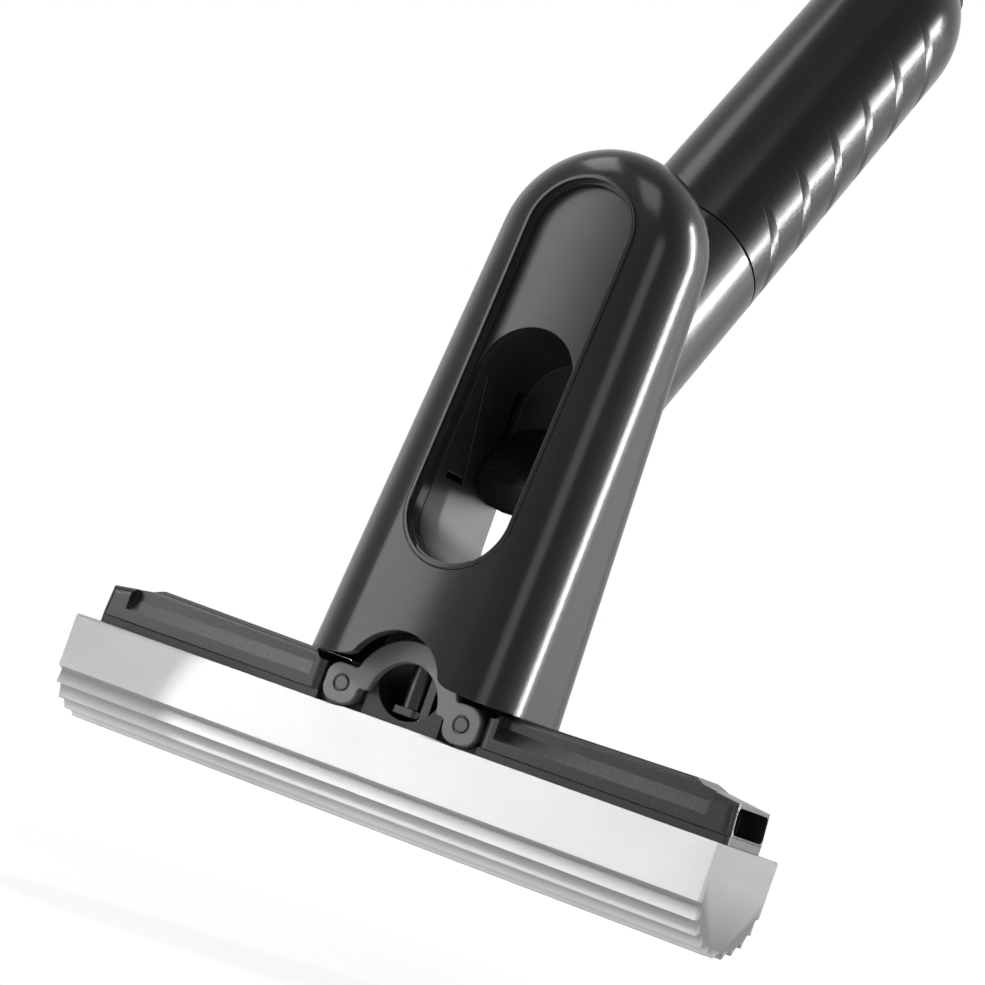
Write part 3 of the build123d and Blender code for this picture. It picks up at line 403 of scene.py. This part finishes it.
def coil_spring(name, node):
    """Wire coil of the return spring, drawn at one length, though the spring shortens as the
    puller rises. It takes its ends and width from the node.
    """
    low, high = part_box(node)
    middle = (low + high) / 2
    radius = (high.x - low.x) / 2 - wire_radius
    foot = low.z + wire_radius
    rise = high.z - wire_radius - foot
    steps = spring_turns * turn_steps
    slope = rise / (2 * math.pi * spring_turns * radius)
    mesh = bmesh.new()
    rings = []
    for i in range(steps + 1):
        a = 2 * math.pi * i / turn_steps
        outward = Vector((math.cos(a), math.sin(a), 0))
        along = Vector((-math.sin(a), math.cos(a), slope)).normalized()
        upward = outward.cross(along)
        place = Vector((middle.x, middle.y, foot + rise * i / steps)) + radius * outward
        ring = []
        for j in range(wire_sides):
            b = 2 * math.pi * j / wire_sides
            spoke = math.cos(b) * outward + math.sin(b) * upward
            ring.append(mesh.verts.new(place + wire_radius * spoke))
        rings.append(ring)
    skin(mesh, rings)
    piece = add_piece(name, mesh, finishes["steel"])
    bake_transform(piece)
    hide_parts(node)


coil_spring("spring_coil", "return_spring")


# ---------------------------------------------------------------- stage
ambient_strength = 0.29
bright_side_turn = 150  # reflections are bright on this side, and dimmer on the other
bright_start = -0.2  # cosines of the angle to that side
bright_end = 0.95
dim_side = 0.2
floor_size = 4.0
floor_drop = 0.036
paper_white = 0.8
paper_glow = 0.06
shown_shade = 0.12  # how much of a shadow the floor shows
shown_glow = 0.9  # close to the object
glow_start = 0.12
glow_end = 0.5


def mixed(tree, share, first, second):
    """The first shader where the share is 0, and the second where it is 1."""
    node = tree.nodes.new("ShaderNodeMixShader")
    tree.links.new(share, node.inputs["Fac"])
    tree.links.new(first, node.inputs[1])
    tree.links.new(second, node.inputs[2])
    return node.outputs["Shader"]


def added(tree, first, second):
    """Two shaders together."""
    node = tree.nodes.new("ShaderNodeAddShader")
    tree.links.new(first, node.inputs[0])
    tree.links.new(second, node.inputs[1])
    return node.outputs["Shader"]


def eased(tree, source, start, end, low, high):
    """Runs smoothly from low to high while the source goes from start to end."""
    node = tree.nodes.new("ShaderNodeMapRange")
    node.interpolation_type = "SMOOTHSTEP"
    node.inputs["From Min"].default_value = start
    node.inputs["From Max"].default_value = end
    node.inputs["To Min"].default_value = low
    node.inputs["To Max"].default_value = high
    tree.links.new(source, node.inputs["Value"])
    return node.outputs["Result"]


def emission_mix(tree, shown, hidden):
    """Shows one shader to camera, glossy and transmission rays, and another to the rest."""
    path = tree.nodes.new("ShaderNodeLightPath")
    seen = path.outputs["Is Camera Ray"]
    for ray in ("Is Glossy Ray", "Is Transmission Ray"):
        most = tree.nodes.new("ShaderNodeMath")
        most.operation = "MAXIMUM"
        tree.links.new(seen, most.inputs[0])
        tree.links.new(path.outputs[ray], most.inputs[1])
        seen = most.outputs["Value"]
    return mixed(tree, seen, hidden, shown)


def around(turn_right, height):
    """Direction from the object, in degrees to the right of the camera and above the horizon."""
    a = camera_azimuth + math.radians(turn_right)
    h = math.radians(height)
    return (math.sin(a) * math.cos(h), -math.cos(a) * math.cos(h), math.sin(h))


def studio_world():
    """White to the camera, brighter on one side to reflections, and a weak light to the rest."""
    world = bpy.data.worlds.new("studio")
    scene.world = world
    world.use_nodes = True
    tree = world.node_tree
    ambient = tree.nodes["Background"]
    white = tree.nodes.new("ShaderNodeBackground")
    mirrored = tree.nodes.new("ShaderNodeBackground")
    for background in (ambient, white, mirrored):
        background.inputs["Color"].default_value = (1, 1, 1, 1)
    ambient.inputs["Strength"].default_value = ambient_strength
    white.inputs["Strength"].default_value = 1.0
    sky = tree.nodes.new("ShaderNodeTexCoord")
    facing = tree.nodes.new("ShaderNodeVectorMath")
    facing.operation = "DOT_PRODUCT"
    tree.links.new(sky.outputs["Generated"], facing.inputs[0])
    facing.inputs[1].default_value = around(bright_side_turn, 0)
    fall = eased(tree, facing.outputs["Value"], bright_start, bright_end, dim_side, 1.0)
    tree.links.new(fall, mirrored.inputs["Strength"])
    path = tree.nodes.new("ShaderNodeLightPath")
    glossy = path.outputs["Is Glossy Ray"]
    shine = mixed(tree, glossy, white.outputs["Background"], mirrored.outputs["Background"])
    surface = emission_mix(tree, shine, ambient.outputs["Background"])
    tree.links.new(surface, tree.nodes["World Output"].inputs["Surface"])


def paper_floor():
    """White paper below the object. The camera sees it glow, a little less close to the object."""
    floor_mesh = bpy.data.meshes.new("floor")
    corners = [(-1, -1), (1, -1), (1, 1), (-1, 1)]
    places = [(x * floor_size, y * floor_size, -floor_drop) for x, y in corners]
    floor_mesh.from_pydata(places, [], [(0, 1, 2, 3)])
    floor = bpy.data.objects.new("floor", floor_mesh)
    scene.collection.objects.link(floor)
    paper = bpy.data.materials.new("paper")
    paper.use_nodes = True
    tree = paper.node_tree
    tree.nodes.remove(tree.nodes["Principled BSDF"])
    matte = tree.nodes.new("ShaderNodeBsdfDiffuse")
    matte.inputs["Color"].default_value = (paper_white, paper_white, paper_white, 1)
    table = tree.nodes.new("ShaderNodeEmission")
    table.inputs["Strength"].default_value = paper_glow
    lit = added(tree, matte.outputs["BSDF"], table.outputs["Emission"])
    shade = tree.nodes.new("ShaderNodeBsdfDiffuse")
    shade.inputs["Color"].default_value = (shown_shade, shown_shade, shown_shade, 1)
    glow = tree.nodes.new("ShaderNodeEmission")
    near = tree.nodes.new("ShaderNodeTexCoord")
    away = tree.nodes.new("ShaderNodeVectorMath")
    away.operation = "LENGTH"
    tree.links.new(near.outputs["Object"], away.inputs[0])
    clear = eased(tree, away.outputs["Value"], glow_start, glow_end, shown_glow, 1.0)
    tree.links.new(clear, glow.inputs["Strength"])
    total = added(tree, shade.outputs["BSDF"], glow.outputs["Emission"])
    surface = emission_mix(tree, total, lit)
    tree.links.new(surface, tree.nodes["Material Output"].inputs["Surface"])
    floor_mesh.materials.append(paper)


def softbox(name, towards, distance, width, height, watts, lights=True, mirrored=True):
    """An upright area lamp that faces the object.

    It can be left out of the light that it gives, or out of the reflections.
    """
    data = bpy.data.lights.new(name, "AREA")
    data.shape = "RECTANGLE"
    data.size = width
    data.size_y = height
    data.energy = watts
    lamp = bpy.data.objects.new(name, data)
    scene.collection.objects.link(lamp)
    lamp.visible_diffuse = lights
    lamp.visible_glossy = mirrored
    towards = Vector(towards).normalized()
    side = Vector((0, 0, 1)).cross(towards).normalized()
    facing = Matrix((side, towards.cross(side), towards)).transposed().to_4x4()
    lamp.matrix_world = Matrix.Translation(camera_aim + towards * distance) @ facing


studio_world()
paper_floor()

spot_towards = Vector(around(-80, 18))
spot_distance = 0.36
# name, direction, distance, width, height, watts
softbox("key_box", around(-73, 16), 1.0, 0.45, 0.7, 3.9, lights=False)
softbox("key_spot", spot_towards, spot_distance, 0.035, 0.035, 1.2, mirrored=False)
softbox("right_strip", around(103, 14), 0.9, 0.032, 0.8, 12.0, lights=False)
softbox("side_box", around(118, 12), 1.0, 0.3, 0.5, 0.32)
softbox("right_box", around(32, 14), 1.3, 0.36, 0.8, 1.6)
softbox("top_box", around(0, 62), 1.1, 0.5, 0.5, 2.0)
softbox("bevel_box", around(-104, 57), 0.9, 0.5, 0.3, 1.5, lights=False)


card_centre = Vector((-0.029, -0.0148, 0.0075))  # of the shadow's round edge, on the sponge
card_radius = 0.0223
card_reach = 0.065
card_share = 0.1  # how far the card is on the way to the lamp
card_steps = 48


def flag(name, lamp_at):
    """A card before a lamp. It shades the sponge to the left of a round edge."""
    edge = []
    far = []
    for i in range(card_steps + 1):
        a = math.pi / 2 + math.pi * i / card_steps
        outward = Vector((math.cos(a), 0, math.sin(a)))
        edge.append(card_centre + card_radius * outward)
        far.append(card_centre + card_reach * outward)
    places = [p + (lamp_at - p) * card_share for p in edge + far]
    faces = [(i, i + 1, card_steps + 2 + i, card_steps + 1 + i) for i in range(card_steps)]
    data = bpy.data.meshes.new(name)
    data.from_pydata([tuple(p) for p in places], [], faces)
    card = bpy.data.objects.new(name, data)
    scene.collection.objects.link(card)
    card.visible_camera = False
    card.visible_glossy = False
    card.visible_diffuse = False
    card.visible_transmission = False


flag("left_card", camera_aim + spot_towards.normalized() * spot_distance)
